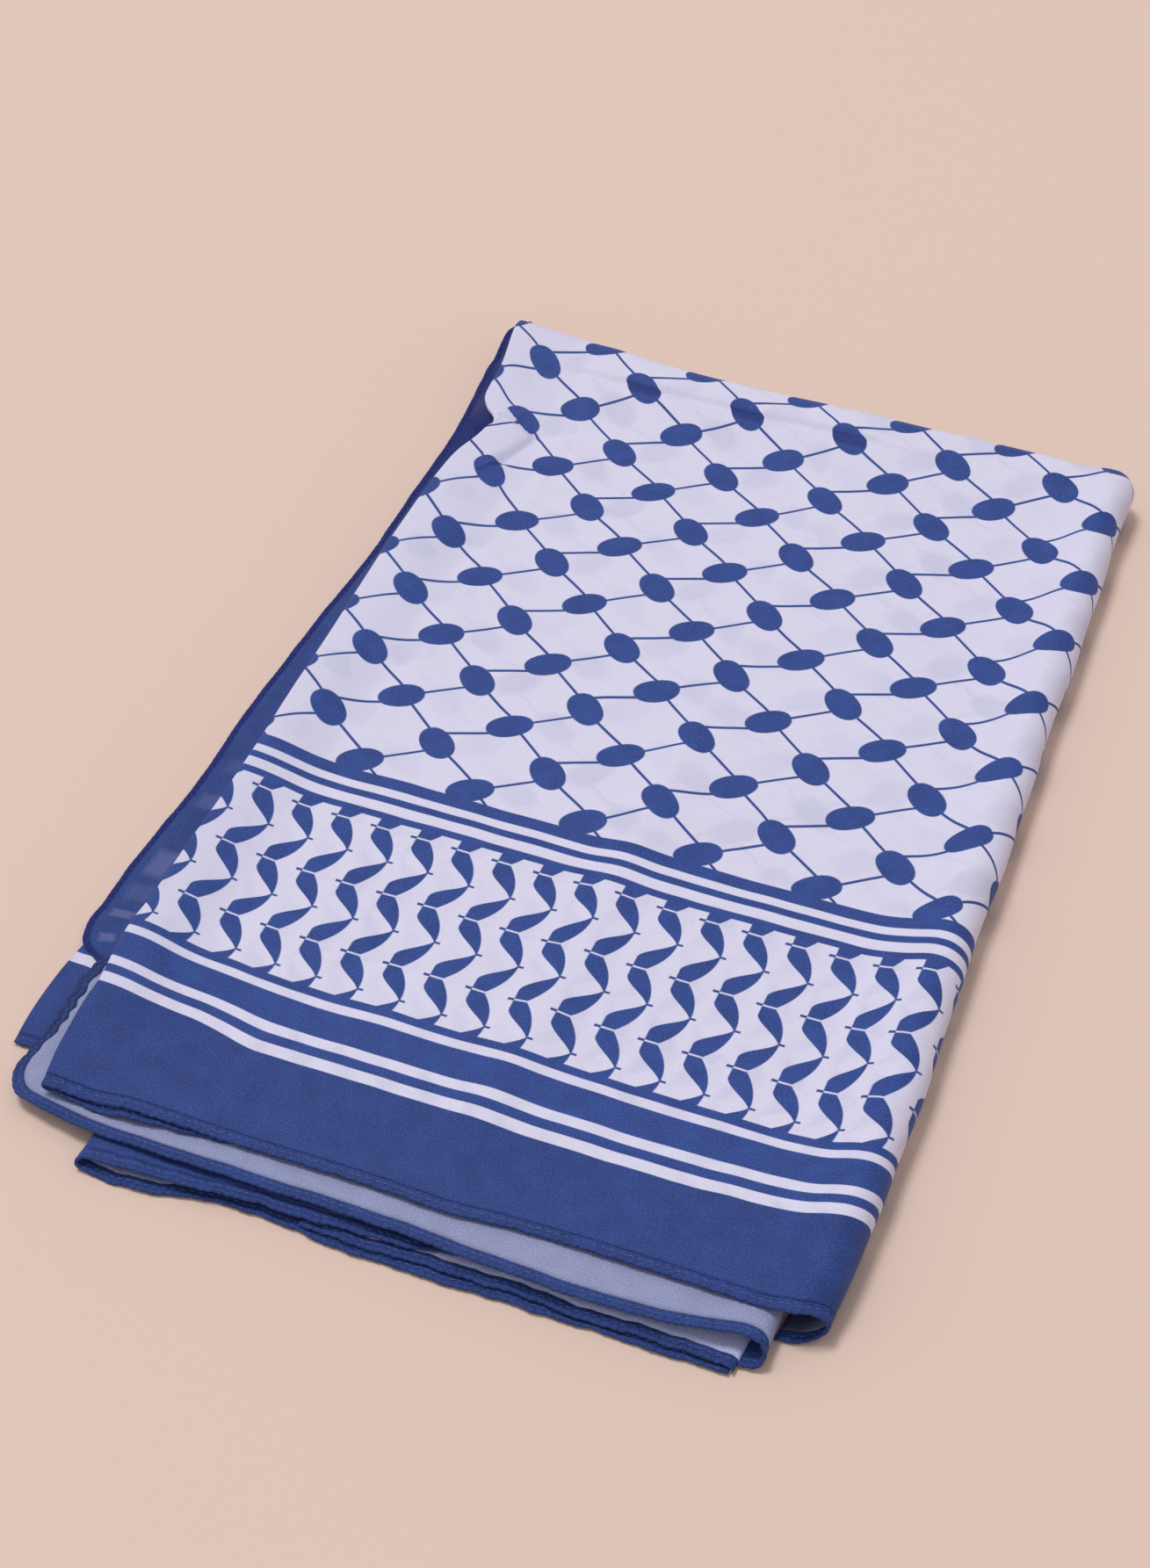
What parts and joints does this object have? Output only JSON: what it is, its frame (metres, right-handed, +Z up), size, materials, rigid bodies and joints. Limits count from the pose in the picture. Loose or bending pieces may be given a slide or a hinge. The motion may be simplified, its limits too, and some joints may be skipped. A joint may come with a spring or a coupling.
{
  "type": "folded headscarf",
  "caption": "Square printed headscarf of thin crepe chiffon, folded flat into an oblong packet with staggered hems, a rolled long fold and a rolled far end.",
  "frame": {"origin": "on the surface it lies on, under the middle of the packet's box", "axes": "+Z up, +Y along the packet from the hemmed end to the rolled far end, +X towards the rolled long fold"},
  "size_m": [0.3474, 0.5304, 0.0253],
  "materials": {
    "print_face": "thin crepe chiffon with a pebbled grain and a soft sheen, printed blue on white",
    "hem": "narrow rolled hem in the blue border, lockstitched in blue thread",
    "wrong_side": "wrong side of the same crepe chiffon, the print showing through pale"
  },
  "bodies": {
    "root": {"top_panel": "print_face", "top_hem": "hem", "tucked_panel": "wrong_side", "tucked_hem": "hem", "second_panel": "wrong_side", "second_hem": "hem", "side_panel": "print_face", "side_hem": "hem", "third_panel": "wrong_side", "third_hem": "hem", "lowest_panel": "print_face", "lowest_hem": "hem", "flap_panel": "print_face", "flap_hem": "hem", "hidden_plies": "wrong_side"}
  },
  "joints": []
}
